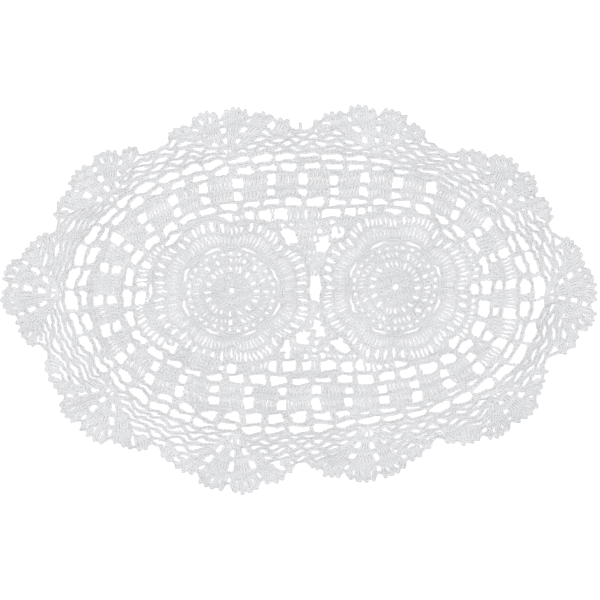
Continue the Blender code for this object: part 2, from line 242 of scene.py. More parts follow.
def sample_oval():
    """Points and length so far, evenly enough round the base oval."""
    angle = np.linspace(0.0, 2.0 * math.pi, OVAL_SAMPLES)
    across = OVAL_HALF_LENGTH * signed_power(np.cos(angle), 2.0 / OVAL_SQUARENESS)
    along = OVAL_HALF_WIDTH * signed_power(np.sin(angle), 2.0 / OVAL_SQUARENESS)
    steps = np.hypot(np.diff(across), np.diff(along))
    length = np.concatenate([[0.0], np.cumsum(steps)])
    return across, along, length


OVAL_X, OVAL_Y, OVAL_LENGTH = sample_oval()
OVAL_GIRTH = float(OVAL_LENGTH[-1])


def on_oval(turn):
    length = (np.asarray(turn, float) % 1.0) * OVAL_GIRTH
    return np.stack([np.interp(length, OVAL_LENGTH, OVAL_X), np.interp(length, OVAL_LENGTH, OVAL_Y)], -1)


def outward(turn):
    """The unit direction square to the oval, away from its middle."""
    reach = TANGENT_REACH / OVAL_GIRTH
    ahead = unit(on_oval(np.asarray(turn) + reach) - on_oval(np.asarray(turn) - reach))
    return np.stack([ahead[..., 1], -ahead[..., 0]], -1)


def place(turn, rise):
    return on_oval(turn) + np.asarray(rise, float)[..., None] * outward(turn)


def turn_and_rise(points):
    """The turn and rise of each point."""
    gap = np.hypot(points[:, None, 0] - OVAL_X[None], points[:, None, 1] - OVAL_Y[None])
    turn = OVAL_LENGTH[gap.argmin(axis=1)] / OVAL_GIRTH
    rise = ((points - on_oval(turn)) * outward(turn)).sum(axis=1)
    return turn, rise


def ground(column, turn):
    """A value of the ground table at any turn, between its rows."""
    rows = len(GROUND)
    values = [row[column] for row in GROUND] + [GROUND[0][column]]
    return np.interp(np.asarray(turn) % 1.0, np.arange(rows + 1) / rows, values)


def second_mesh(column, turn):
    """The inner or outer side of the second mesh round at any turn."""
    turns = [row[0] for row in SECOND_MESH]
    values = [row[column] for row in SECOND_MESH]
    return np.interp(np.asarray(turn) % 1.0, turns, values, period=1.0)


# The solid's own top, edge and gaps

TOP_DEPTH = 0.5


def top_faces():
    """The solid's corners in millimetres, and the faces of its top."""
    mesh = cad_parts["doily"].data
    points = np.array([vertex.co for vertex in mesh.vertices]) / MM
    level = points[:, 2].max() - TOP_DEPTH
    return points, [face for face in mesh.polygons if min(points[list(face.vertices), 2]) >= level]


def solid_loops():
    """The edge and the gaps of the solid, from the free edges of its top face."""
    points, faces = top_faces()
    keys = {}
    number = [keys.setdefault((round(x, 2), round(y, 2)), len(keys)) for x, y, _ in points]
    spots = np.array(list(keys)) + SHEET_MIDDLE
    onward = {}
    for face in faces:
        corners = [number[corner] for corner in face.vertices]
        for first, second in zip(corners, corners[1:] + corners[:1]):
            if onward.get((second, first)):
                del onward[(second, first)]
            else:
                onward[(first, second)] = True
    step = {first: second for first, second in onward}
    loops = []
    while step:
        here = next(iter(step))
        loop = []
        while here in step:
            loop.append(here)
            here = step.pop(here)
        loops.append(spots[loop])
    loops.sort(key=len, reverse=True)
    return loops[0], loops[1:]


def inside(loop, points):
    """Whether each point lies inside a loop."""
    x, y = points[:, 0][:, None], points[:, 1][:, None]
    ax, ay = loop[:, 0][None], loop[:, 1][None]
    bx, by = np.roll(loop[:, 0], -1)[None], np.roll(loop[:, 1], -1)[None]
    rise = np.where(by == ay, 1e-9, by - ay)
    hits = ((ay > y) != (by > y)) & (x < (bx - ax) * (y - ay) / rise + ax)
    return hits.sum(axis=1) % 2 == 1


# Tubes of thread

class Yarn:
    """Closed tubes of thread, gathered for one mesh."""

    def __init__(self):
        self.points = []
        self.quads = []
        self.caps = []
        self.lengths = []
        self.count = 0

    def add(self, paths, radius=THREAD_RADIUS):
        """Tubes along paths, which all have the same number of points."""
        paths = np.asarray(paths, float)
        amount, knots, _ = paths.shape
        along = unit(np.gradient(paths, axis=1))
        across = np.empty_like(paths)
        across[:, 0] = unit(np.cross(along[:, 0], (0.11, 0.07, 1.0)))
        for knot in range(1, knots):
            before = across[:, knot - 1]
            lean = (before * along[:, knot]).sum(axis=1, keepdims=True)
            across[:, knot] = unit(before - lean * along[:, knot])
        up = np.cross(along, across)
        angle = 2.0 * math.pi * np.arange(THREAD_SIDES) / THREAD_SIDES
        rim = across[:, :, None] * np.cos(angle)[:, None] + up[:, :, None] * np.sin(angle)[:, None]
        self.points.append((paths[:, :, None] + radius * rim).reshape(-1, 3))

        number = self.count + np.arange(amount * knots * THREAD_SIDES)
        number = number.reshape(amount, knots, THREAD_SIDES)
        near, far = number[:, :-1], number[:, 1:]
        turned = np.roll(near, -1, axis=2), np.roll(far, -1, axis=2)
        self.quads.append(np.stack([near, turned[0], turned[1], far], -1).reshape(-1, 4))
        self.caps.append(number[:, 0, ::-1])
        self.caps.append(number[:, -1])
        steps = np.linalg.norm(np.diff(paths, axis=1), axis=2)
        length = np.concatenate([np.zeros((amount, 1)), np.cumsum(steps, axis=1)], axis=1)
        self.lengths.append(np.repeat(length[:, :, None], THREAD_SIDES, axis=2).reshape(-1))
        self.count += amount * knots * THREAD_SIDES

    def mesh(self, name):
        """One object of all the tubes. Its map runs along the thread and round it."""
        points = np.concatenate(self.points)
        points[:, :2] += warp(points[:, :2]) - SHEET_MIDDLE
        quads = np.concatenate(self.quads)
        caps = np.concatenate(self.caps)
        corners = np.concatenate([quads.ravel(), caps.ravel()])
        sizes = np.concatenate([np.full(len(quads), 4), np.full(len(caps), THREAD_SIDES)])
        starts = np.concatenate([[0], np.cumsum(sizes)[:-1]])
        mesh = bpy.data.meshes.new(name)
        mesh.vertices.add(len(points))
        mesh.vertices.foreach_set("co", (points * MM).astype(np.float32).ravel())
        mesh.loops.add(len(corners))
        mesh.loops.foreach_set("vertex_index", corners.astype(np.int32))
        mesh.polygons.add(len(sizes))
        mesh.polygons.foreach_set("loop_start", starts.astype(np.int32))
        mesh.update(calc_edges=True)
        mesh.shade_smooth()

        way = np.concatenate(self.lengths)[corners]
        side = (corners % THREAD_SIDES) / THREAD_SIDES
        quad_side = side[:quads.size].reshape(-1, 4)
        quad_side[:, 1:3] = quad_side[:, [0]] + 1.0 / THREAD_SIDES
        side[:quads.size] = quad_side.ravel()
        layer = mesh.uv_layers.new(name="thread")
        layer.data.foreach_set("uv", np.stack([way, side], -1).astype(np.float32).ravel())
        thing = bpy.data.objects.new(name, mesh)
        bpy.context.scene.collection.objects.link(thing)
        return thing


chance = random.Random(SEED)


def spread(amount, count):
    """Small uneven values round nought."""
    return np.array([chance.uniform(-amount, amount) for _ in range(count)])


def wave_table():
    """Directions, phases and sizes of the waves that shift the thread."""
    rows = []
    for length, size in WARP:
        for _ in range(WARP_WAVES):
            heading = chance.uniform(0.0, 2.0 * math.pi)
            number = 2.0 * math.pi / (length * chance.uniform(0.8, 1.25))
            rows.append((
                number * math.cos(heading), number * math.sin(heading), chance.uniform(0.0, 2.0 * math.pi),
                size * chance.uniform(-1.0, 1.0), size * chance.uniform(-1.0, 1.0),
            ))
    return np.array(rows)


WAVES = wave_table()


def warp(points):
    """How far each point is shifted by the unevenness of hand work."""
    shift = np.zeros_like(points)
    for across, along, phase, wide, tall in WAVES:
        swing = np.sin(points[:, 0] * across + points[:, 1] * along + phase)
        shift += swing[:, None] * (wide, tall)
    return shift


def lay_chain(yarn, line, closed=False, width=1.0, pitch=CHAIN_PITCH):
    """A chain along a line of points. Its width is one number, or one for each point."""
    line = np.asarray(line, float)
    width = np.broadcast_to(np.asarray(width, float), len(line))
    if closed:
        line = np.concatenate([line, line[:1]])
        width = np.concatenate([width, width[:1]])
    length = np.concatenate([[0.0], np.cumsum(np.hypot(*np.diff(line, axis=0).T))])
    total = length[-1]
    over = 0.0 if closed else CHAIN_REACH
    count = max(1, round(total / pitch - over))
    pitch = total / (count + over)
    rows = np.array(CHAIN_STITCH)
    swell = 1.0 + spread(CHAIN_SPREAD, count)[:, None]
    sway = spread(CHAIN_SPREAD, count)
    along = ((np.arange(count)[:, None] + rows[:, 0]) * pitch).ravel()
    across = (rows[:, 1] * swell * CHAIN_HALF_WIDTH).ravel()
    up = np.tile(rows[:, 2] * CHAIN_HALF_HEIGHT, count)
    if closed:
        along = along % total
    across = across * np.interp(along, length, width) + np.repeat(sway, len(rows))
    ahead = unit(np.gradient(line, axis=0))
    if closed:
        ahead[0] = ahead[-1] = unit(line[1] - line[-2])
    spot = np.stack([np.interp(along, length, line[:, axis]) for axis in (0, 1)], -1)
    heading = unit(np.stack([np.interp(along, length, ahead[:, axis]) for axis in (0, 1)], -1))
    aside = np.stack([heading[:, 1], -heading[:, 0]], -1)
    flat = spot + across[:, None] * aside
    height = MIDDLE_HEIGHT + up
    yarn.add(np.concatenate([flat, height[:, None]], axis=1)[None])


def lay_stitches(yarn, bases, tops, stitch, width):
    """The same stitch between each base and top."""
    bases, tops = np.asarray(bases, float), np.asarray(tops, float)
    axis = tops - bases
    length = np.linalg.norm(axis, axis=1)[:, None]
    axis = axis / np.maximum(length, 1e-6)
    side = np.stack([axis[:, 1], -axis[:, 0]], -1)
    rows = np.array(stitch)
    along = rows[:, 0] * length + rows[:, 1]
    across = rows[:, 2] * POST_HALF_WIDTH * np.broadcast_to(width, len(bases))[:, None]
    up = np.broadcast_to(MIDDLE_HEIGHT + rows[:, 3] * POST_HALF_HEIGHT, along.shape)
    flat = bases[:, None] + along[..., None] * axis[:, None] + across[..., None] * side[:, None]
    yarn.add(np.concatenate([flat, up[..., None]], axis=2))


def lay_posts(yarn, bases, tops, width=1.0):
    """Upright stitches, each with its wrap."""
    if len(bases) == 0:
        return
    bases = np.asarray(bases, float) + spread(POST_SPREAD, 2 * len(bases)).reshape(-1, 2)
    tops = np.asarray(tops, float) + spread(POST_SPREAD, 2 * len(tops)).reshape(-1, 2)
    lay_stitches(yarn, bases, tops, POST_STITCH, width)
    lay_stitches(yarn, bases, tops, WRAP_STITCH, width)


def runs(flags):
    """First and last place of each unbroken run of true flags."""
    edges = np.flatnonzero(np.diff(np.concatenate([[0], flags.astype(int), [0]])))
    return [(first, last) for first, last in zip(edges[::2], edges[1::2])]


def ease(values, reach):
    """Values round a closed line, each averaged with its neighbours."""
    kernel = np.ones(2 * reach + 1) / (2 * reach + 1)
    around = np.concatenate([values[-reach:], values, values[:reach]])
    return np.convolve(around, kernel, "valid")


def length_of(line):
    return float(np.hypot(*np.diff(line, axis=0).T).sum())


# Oval ground

ROUND_SAMPLES = 1600
TURNS = np.linspace(0.0, 1.0, ROUND_SAMPLES, endpoint=False)
CHAIN_MARGIN = 1.4
DOUBLE_FROM = 4.5
LEAST_RUN = 6.5
MOTIF_REACH = 58.5
RINGS = 6
RING_EASE = 10
RING_WIDTHS = (1.4, 1.95)
RING_WOBBLE = 0.36
WOBBLE_WAVES = 5
WOBBLE_TIMES = (9, 46)
LAST_RING_ROOM = 2.4
LEAST_DOUBLE = 8

# Rows of stitches between the gaps: the limits of a stitch's width and of a mesh wall's, how far
# they lean, in millimetres, how much of the last one's lean a wall keeps, the pitch of the
# stitches in a mesh wall, and how far and how widely a wall pulls the rings
POST_WIDTHS = (0.75, 1.5)
WALL_WIDTHS = (1.5, 2.1)
LEAN_KEPT = 0.6
WALL_SPREAD = 0.35
MESH_LEAN = 1.5
BLOCK_LEAN = 0.15
WALL_PITCH = 2.3
PULL = 0.9
PULL_REACH = 2.8
GAP_SEARCH = 2.2

LOOP_EDGE, LOOP_GAPS = solid_loops()


def sides_of_ring(number, turn):
    """Rise of the inner and outer side of a ring of chain between two rounds of gaps."""
    low = ROUNDS[number - 1][1](turn) if number > 0 else second_mesh(3, turn)
    high = ROUNDS[number][0](turn) if number < len(ROUNDS) else low + LAST_RING_ROOM
    return low, high


def wobble(turns, size):
    """A slow uneven swing round the oval."""
    swing = np.zeros(len(turns))
    for _ in range(WOBBLE_WAVES):
        times = chance.randint(*WOBBLE_TIMES)
        swing += size * np.sin(2.0 * math.pi * times * turns + chance.uniform(0.0, 2.0 * math.pi))
    return swing


def round_of_gaps(low, high):
    """The gaps whose middles lie between two rises, counter-clockwise: each one's turns and rises."""
    found = []
    for loop in LOOP_GAPS:
        turn, rise = turn_and_rise(loop)
        start = turn[0]
        turn = start + (turn - start + 0.5) % 1.0 - 0.5
        middle = float(turn.mean())
        if low(middle) < rise.mean() < high(middle):
            found.append((middle % 1.0, turn - middle + middle % 1.0, rise))
    found.sort(key=lambda gap: gap[0])
    return found


def gap_sides(gap):
    """Turns of a gap's right and left side, at its inner and its outer half."""
    _, turn, rise = gap
    inner = rise < rise.mean()
    return (turn[inner].min(), turn[inner].max()), (turn[~inner].min(), turn[~inner].max())


def middle_of(low, high, reach):
    """Two limits round the middle of a round of gaps, for picking them out."""
    return (lambda t: 0.5 * (low(t) + high(t)) - reach, lambda t: 0.5 * (low(t) + high(t)) + reach)


def side(column, away=0.0):
    """The rise of a line of the ground table, or of one at a distance from it, at any turn."""
    return lambda turn: ground(column, turn) + away


# The rounds of gaps in the ground: their inner and outer side, how far the stitches between them
# lean, and whether their walls pull the rings of chain
ROUNDS = (
    (side(INNER_IN), side(INNER_OUT), MESH_LEAN, True),
    (side(BAND, BAND_INNER[0]), side(BAND, BAND_INNER[1]), BLOCK_LEAN, False),
    (side(BAND, BAND_OUTER[0]), side(BAND, BAND_OUTER[1]), BLOCK_LEAN, False),
    (side(MESH_A_IN), side(MESH_A_OUT), MESH_LEAN, True),
    (side(MESH_B_IN), side(MESH_B_OUT), MESH_LEAN, True),
)
ROUND_GAPS = [round_of_gaps(*middle_of(low, high, GAP_SEARCH)) for low, high, _, _ in ROUNDS]


def pull_of(number):
    """How strongly the walls of a round pull at each turn, up to one."""
    pull = np.zeros(len(TURNS))
    if not 0 <= number < len(ROUNDS) or not ROUNDS[number][3]:
        return pull
    gaps = ROUND_GAPS[number]
    for gap, following in zip(gaps, gaps[1:] + gaps[:1]):
        wall = 0.5 * (gap[1].max() + following[1].min() + (1.0 if following[0] <= gap[0] else 0.0))
        away = ((TURNS - wall + 0.5) % 1.0 - 0.5) * OVAL_GIRTH
        pull = np.maximum(pull, np.exp(-(away / PULL_REACH) ** 2))
    return pull


def ring_table(number):
    """A ring's inner and outer line of chain and their width. They are one where it is narrow."""
    low, high = sides_of_ring(number, TURNS)
    room = high - low
    double = room > DOUBLE_FROM
    swing = wobble(TURNS, RING_WOBBLE)
    middle = 0.5 * (low + high)
    inner = ease(np.where(double, low + 0.25 * room, middle), RING_EASE) + swing
    outer = ease(np.where(double, high - 0.25 * room, middle), RING_EASE) + swing
    inward, away = PULL * pull_of(number - 1), PULL * pull_of(number)
    inner = inner - inward + np.where(double, 0.0, away)
    outer = outer + away - np.where(double, 0.0, inward)
    width = (0.5 * np.where(double, 0.5 * room, room) - THREAD_RADIUS) / CHAIN_HALF_WIDTH
    return inner, outer, ease(np.clip(width, *RING_WIDTHS), RING_EASE), double


RING_TABLES = [ring_table(number) for number in range(RINGS)]


def ring_lines(number, turn):
    """Rise of a ring's inner and outer line of chain at any turn."""
    inner, outer, _, _ = RING_TABLES[number]
    turn = np.asarray(turn) % 1.0
    return np.interp(turn, TURNS, inner, period=1.0), np.interp(turn, TURNS, outer, period=1.0)


def lay_rings(yarn):
    for inner, outer, width, double in RING_TABLES:
        lay_chain(yarn, place(TURNS, inner), closed=True, width=width)
        for first, last in runs(double):
            if last - first > LEAST_DOUBLE:
                lay_chain(yarn, place(TURNS[first:last], outer[first:last]), width=width[first:last])


def post_width(room, limits=POST_WIDTHS):
    """The width that makes a stitch fill its room."""
    return np.clip((0.5 * room - THREAD_RADIUS) / POST_HALF_WIDTH, *limits)


def lay_row(yarn, gaps, base_rise, top_rise, lean, mesh):
    """The upright stitches between each two gaps of a round: one for a wall, more for a block."""
    bases, tops, widths = [], [], []
    pitch, limits = (WALL_PITCH, WALL_WIDTHS) if mesh else (POST_PITCH, POST_WIDTHS)
    tilt = 0.0
    for gap, following in zip(gaps, gaps[1:] + gaps[:1]):
        inner, outer = gap_sides(gap)
        inner_next, outer_next = gap_sides(following)
        lap = 1.0 if following[0] <= gap[0] else 0.0
        low = np.array([inner[1], inner_next[0] + lap])
        high = np.array([outer[1], outer_next[0] + lap])
        width = 0.5 * float((low[1] - low[0]) + (high[1] - high[0])) * OVAL_GIRTH
        count = max(1, round(width / pitch))
        tilt = LEAN_KEPT * tilt + chance.uniform(-lean, lean)
        share = (np.arange(count) + 0.5) / count
        low_turns = low[0] + share * (low[1] - low[0]) - tilt / OVAL_GIRTH
        high_turns = high[0] + share * (high[1] - high[0]) + tilt / OVAL_GIRTH
        bases.append(place(low_turns, base_rise(low_turns)))
        tops.append(place(high_turns, top_rise(high_turns)))
        swell = chance.uniform(1.0, 1.0 + WALL_SPREAD)
        widths.append(np.full(count, swell * post_width(width / count, limits)))
    lay_posts(yarn, np.concatenate(bases), np.concatenate(tops), np.concatenate(widths))


def outer_line(number):
    return lambda turn: ring_lines(number, turn)[1]


def inner_line(number):
    return lambda turn: ring_lines(number, turn)[0]


def lay_rows(yarn):
    """The rows of upright stitches between the rings."""
    for ring, (_, _, lean, mesh) in enumerate(ROUNDS):
        lay_row(yarn, ROUND_GAPS[ring], outer_line(ring), inner_line(ring + 1), lean, mesh)


# Inside the inner mesh: the second mesh and the ground between the motifs

def outside_motifs(points, margin=0.0):
    """Whether each point lies outside both motifs."""
    clear = np.ones(len(points), bool)
    for x, y, wide, tall in MOTIFS:
        clear &= np.hypot((points[:, 0] - x) / wide, (points[:, 1] - y) / tall) > MOTIF_REACH + margin
    return clear


def outside_gaps(points):
    clear = np.ones(len(points), bool)
    for loop in LOOP_GAPS:
        middle = loop.mean(axis=0)
        reach = np.hypot(*(loop - middle).T).max() + 1.0
        near = np.hypot(*(points - middle).T) < reach
        if near.any():
            clear[near] &= ~inside(middle + (loop - middle) * 1.08, points[near])
    return clear


# Rows of the ground inside the second mesh: how many, their pitch, the pitch of the stitches
# between them, and how far a row swings from its neighbours
FIELD_ROWS = 13
FIELD_PITCH = 5.3
FIELD_POST = 3.0
FIELD_SWING = 0.7
FIELD_WAVE = 13.0
FIELD_SPREAD = 0.5
FIELD_LEAST = 2.4
FIELD_TUCK = 0.9
SECOND_REACH = 0.5
SECOND_WALL = 7.0
FIELD_WIDTH = 1.15


def swung(turns, row, swing, wave):
    """The rise that a row swings by, against its neighbours' swing."""
    waves = round(OVAL_GIRTH / wave)
    return swing * (1 - 2 * (row % 2)) * np.sin(2.0 * math.pi * waves * turns)


def field_rise(row, turn):
    """Rise of the lines of chain further and further inside the second mesh."""
    level = second_mesh(2, turn) - CHAIN_MARGIN - row * FIELD_PITCH
    return level + swung(turn, row, FIELD_SWING, FIELD_WAVE)


def lay_field(chains, posts):
    lay_second_walls(posts)
    for row in range(FIELD_ROWS):
        line = place(TURNS, field_rise(row, TURNS))
        keep = outside_motifs(line, -FIELD_TUCK) & outside_gaps(line)
        keep &= turns_are_own(line, TURNS)
        for first, last in runs(keep):
            if length_of(line[first:last]) > LEAST_RUN:
                lay_chain(chains, line[first:last])
    for row in range(FIELD_ROWS):
        count = round(OVAL_GIRTH / FIELD_POST)
        turns = (np.arange(count) + 0.5 * (row % 2) + spread(FIELD_SPREAD / FIELD_POST, count)) / count
        top_turns = turns + spread(FIELD_SPREAD / OVAL_GIRTH, count)
        base = place(turns, field_rise(row, turns))
        if row == 0:
            top = place(top_turns, ring_lines(0, top_turns)[0])
        else:
            top = place(top_turns, field_rise(row - 1, top_turns))
        middle = 0.5 * (base + top)
        keep = outside_gaps(base) & outside_gaps(top) & outside_gaps(middle)
        keep &= outside_gaps(0.5 * (base + middle)) & outside_gaps(0.5 * (middle + top))
        keep &= outside_motifs(middle, -FIELD_TUCK) & turns_are_own(base, turns)
        keep &= spaced(middle, keep)
        lay_posts(posts, base[keep], top[keep], FIELD_WIDTH)


def lay_second_walls(posts):
    """The stitches that part two gaps of the second mesh."""
    gaps = round_of_gaps(
        lambda t: second_mesh(2, t) - SECOND_REACH,
        lambda t: second_mesh(3, t) + SECOND_REACH,
    )
    for gap, following in zip(gaps, gaps[1:] + gaps[:1]):
        start, stop = gap[1].max(), following[1].min() + (1.0 if following[0] <= gap[0] else 0.0)
        room = (stop - start) * OVAL_GIRTH
        if room < SECOND_WALL:
            turn = np.array([0.5 * (start + stop)])
            top = place(turn, ring_lines(0, turn)[0])
            lay_posts(posts, place(turn, field_rise(0, turn)), top, post_width(room, WALL_WIDTHS))


def spaced(points, wanted):
    """Which of the wanted points of a row stand well apart from the one before."""
    keep = np.zeros(len(points), bool)
    last = None
    for number in np.flatnonzero(wanted):
        if last is None or np.hypot(*(points[number] - points[last])) > FIELD_LEAST:
            keep[number] = True
            last = number
    return keep


def turns_are_own(points, turns):
    """Whether a point really is nearest to its own turn, which fails past the oval's middle."""
    found, _ = turn_and_rise(points)
    away = np.abs((found - turns + 0.5) % 1.0 - 0.5)
    return away * OVAL_GIRTH < 3.0


# Motifs

def motif_point(motif, angle, radius):
    x, y, wide, tall = motif
    angle, radius = np.asarray(angle, float), np.asarray(radius, float)
    return np.stack([x + wide * radius * np.cos(angle), y + tall * radius * np.sin(angle)], -1)


# Rows of upright stitches right round a motif: how many groups there are, how many stitches are
# in each, the share of the round that a group takes, how far the row is turned in groups, and
# the inner and outer radius
PETALS = 8
MOTIF_ROWS = (
    (14, 1, 1.00, 0.3, 3.8, 7.6),
    (24, 1, 1.00, 0.0, 9.2, 13.2),
    (16, 2, 0.82, 0.5, 14.8, 20.2),
    (16, 3, 0.88, 0.5, 22.6, 27.2),
)
# Rings of chain in a motif: radius and width
MOTIF_RINGS = ((3.1, 0.7), (8.4, 1.0), (14.0, 1.05), (21.3, 1.35), (28.0, 0.9))

# Scalloped rows of a motif: inner radius and how far it bows out in a petal, outer radius and how
# far that bows out, groups of stitches in each petal, stitches in a group, and the share of a
# group's room that its stitches take
PETAL_ROWS = (
    (29.3, 0.0, 31.6, 0.4, 4, 2, 0.66),
    (37.0, 1.2, 42.6, 4.8, 12, 1, 1.00),
    (44.4, 4.8, 52.4, 4.8, 6, 2, 0.88),
)

# How much a group of stitches differs in width from the others of its row
GROUP_SPREAD = 0.22

# Scalloped rings of a motif: radius, how far they bow out in each petal, the share of the petal
# in which they do, and width
PETAL_RINGS = (
    (32.6, 0.3, 1.0, 0.95),
    (34.8, 2.5, 0.7, 1.1),
    (43.5, 4.8, 1.0, 1.0),
    (53.5, 4.8, 1.0, 1.6),
)


def ring_points(motif, radius, count=160):
    """Points right round a motif."""
    angle = np.linspace(0.0, 1.0, count, endpoint=False) * 2.0 * math.pi
    return motif_point(motif, angle, radius)


def scalloped_ring(motif, radius, bow, wide, count=480):
    """Points right round a motif that bow out once in each petal."""
    angle = 2.0 * math.pi * np.arange(count) / count
    share = (angle * PETALS / (2.0 * math.pi)) % 1.0
    bulge = np.maximum(0.0, 1.0 - ((2.0 * share - 1.0) / wide) ** 2)
    return motif_point(motif, angle, radius + bow * bulge)


def uneven(groups, each, share):
    """For each stitch, how much wider than planned its group is worked, if groups stand apart."""
    if share > 0.99:
        return np.ones(groups * each)
    return np.repeat(1.0 + spread(GROUP_SPREAD, groups), each)


def lay_motif(motif, chains, posts, joining):
    """One motif. Its last ring, where the ground is joined on, is laid with the ground's chains."""
    for radius, width in MOTIF_RINGS:
        lay_chain(chains, ring_points(motif, radius), closed=True, width=width)
    for radius, bow, wide, width in PETAL_RINGS:
        yarn = joining if radius == PETAL_RINGS[-1][0] else chains
        lay_chain(yarn, scalloped_ring(motif, radius, bow, wide), closed=True, width=width)
    for groups, each, share, turned, low, high in MOTIF_ROWS:
        cell = 2.0 * math.pi / groups
        number = np.arange(groups * each)
        within = ((number % each + 0.5) / each - 0.5) * uneven(groups, each, share)
        angle = cell * (number // each + turned + share * within)
        width = post_width((0.3 * low + 0.7 * high) * cell * share / each)
        lay_posts(posts, motif_point(motif, angle, low), motif_point(motif, angle, high), width)
    cell = 2.0 * math.pi / PETALS
    for petal in range(PETALS):
        middle = cell * (petal + 0.5)
        for low, low_bow, high, high_bow, groups, each, fill in PETAL_ROWS:
            number = np.arange(groups * each)
            group = (number // each + 0.5) / groups - 0.5
            inside_group = ((number % each + 0.5) / each - 0.5) * uneven(groups, each, fill)
            within = group + fill * inside_group / groups
            bulge = 1.0 - (2.0 * within) ** 2
            base = motif_point(motif, middle + cell * within, low + low_bow * bulge)
            tops = motif_point(motif, middle + cell * within, high + high_bow * bulge)
            width = post_width((0.2 * low + 0.8 * high) * cell * fill / (groups * each))
            lay_posts(posts, base, tops, width)


# Scallops

def fan_point(turn, base, angle, reach):
    """A point of a scallop's fan, by its angle from the fan's axis and its reach from the base."""
    axis = outward(turn)
    heading = math.atan2(axis[1], axis[0]) + np.radians(angle)
    reach = np.asarray(reach, float)[..., None]
    return place(turn, base) + reach * np.stack([np.cos(heading), np.sin(heading)], -1)


def fan_angle(turn, base, points):
    """The angle and reach of points of a fan."""
    away = points - place(turn, base)
    axis = outward(turn)
    heading = math.atan2(axis[1], axis[0])
    angle = np.degrees(np.arctan2(away[..., 1], away[..., 0]) - heading)
    return (angle + 180.0) % 360.0 - 180.0, np.hypot(away[..., 0], away[..., 1])


def even_foot(notch, top, valley):
    """The foot of an end shell on its valley's side, as far from the top as the notch is."""
    away = valley - notch
    room = float(np.hypot(*away))
    onward = away / room
    return notch + onward * min(room, max(2.0 * float(np.dot(top - notch, onward)), END_SHELL_LEAST))


def scallop_feet(number, before):
    """Tops and feet of a scallop's shells, with both ends."""
    turn, base, valley_turn, valley_rise, shells = SCALLOPS[number]
    tops = [fan_point(turn, base, shell[0], shell[1]) for shell in shells]
    notches = [fan_point(turn, base, shell[2], shell[3]) for shell in shells[:-1]]
    valley = place(valley_turn, valley_rise)
    first = even_foot(notches[0], tops[0], before)
    last = even_foot(notches[-1], tops[-1], valley)
    return tops, [first] + notches + [last], valley


# The outermost chain: its distance from the edge, and how the edge is eased for it
EDGE_INSET = 1.5
EDGE_STEP = 0.8
EDGE_EASE = 5
EDGE_PITCH = 2.4

# Fans: the widest angle, the rows' shares of the way to the notches, the share of the rim's row
# that is left to the edge, the widths of the gaps in each row, and their turning in the first row
FAN_LIMIT = 56.0
FAN_FRACTIONS = (0.27, 0.53, 0.80)
FAN_GAP_WIDTHS = (2.3, 3.1, 3.6)
FAN_CHAIN_WIDTH = 1.9
SMALL_GAP_SHARE = 0.3
FAN_GAPS = 3
FAN_START = 1.8
FAN_POST_PITCH = 2.45
FAN_REACH = 66.0
RIM_MARGIN = 0.9
SHELL_BASE = 0.86
SHELL_HEADS = 0.96
SHELL_INSET = 2.4
SIDE_SHELL_DEPTH = 7.0
SHELL_POST_PITCH = 2.5
SHELL_TWO_ROWS = 6.0
PICOT_STITCH = 2.1
PICOT_INSET = 1.9

# Outer row of a shell: how far up the shell it starts, room of a group of stitches, stitches in
# it, and the shares that they take at their feet and heads
RIM_START = 0.32
RIM_GROUP = 6.6
RIM_EACH = 3
RIM_FEET = 0.64
RIM_HEADS = 0.94

# Valleys: pitch of the rows, and how far and how often they swing
VALLEY_PITCH = 4.5
VALLEY_SWING = 0.75
VALLEY_WIDTH = 1.1
VALLEY_MORE = 4
VALLEY_CLEAR = 2.4
VALLEY_LAP = 12.0
VALLEY_WAVE = 12.5
VALLEY_SAMPLES = 240
LONE_PICOT = (0.254, 40.6, 47.0)


def edge_line():
    """The line of the outermost chain, a little inside the solid's edge."""
    loop = LOOP_EDGE
    area = np.sum(loop[:, 0] * np.roll(loop[:, 1], -1) - np.roll(loop[:, 0], -1) * loop[:, 1])
    if area < 0.0:
        loop = loop[::-1]
    closed = np.concatenate([loop, loop[:1]])
    length = np.concatenate([[0.0], np.cumsum(np.hypot(*np.diff(closed, axis=0).T))])
    even = np.arange(0.0, length[-1], EDGE_STEP)
    line = np.stack([np.interp(even, length, closed[:, axis]) for axis in (0, 1)], -1)
    for _ in range(EDGE_EASE):
        line = 0.25 * np.roll(line, 1, axis=0) + 0.5 * line + 0.25 * np.roll(line, -1, axis=0)
    ahead = unit(np.roll(line, -1, axis=0) - np.roll(line, 1, axis=0))
    line = line + EDGE_INSET * np.stack([-ahead[:, 1], ahead[:, 0]], -1)
    for _ in range(EDGE_EASE):
        line = 0.25 * np.roll(line, 1, axis=0) + 0.5 * line + 0.25 * np.roll(line, -1, axis=0)
    return line


EDGE_LINE = edge_line()


def shell_edge(first, last, top, count):
    """The shell's arc on the chord between two notches: points, outward directions."""
    chord = last - first
    width = float(np.hypot(*chord))
    onward = chord / width
    out = np.array([onward[1], -onward[0]])
    middle = 0.5 * (first + last)
    height = max(float(np.dot(top - middle, out)), SHELL_LEAST_HEIGHT)
    across = np.linspace(-0.5, 0.5, count)
    rise = height * (1.0 - SHELL_ROUNDING * np.abs(2.0 * across) ** SHELL_SQUARENESS)
    line = middle + across[:, None] * width * SHELL_FULLNESS * onward + rise[:, None] * out
    return line, out, width


def lay_picot(chains, foot, out):
    """A small closed loop of chain that stands on the edge."""
    aside = np.array([out[1], -out[0]])
    angle = np.linspace(-0.42 * math.pi, 1.42 * math.pi, 24)
    loop = foot + 1.1 * (np.cos(angle)[:, None] * aside + (np.sin(angle)[:, None] + 0.75) * out)
    lay_chain(chains, loop, width=0.6, pitch=PICOT_STITCH)


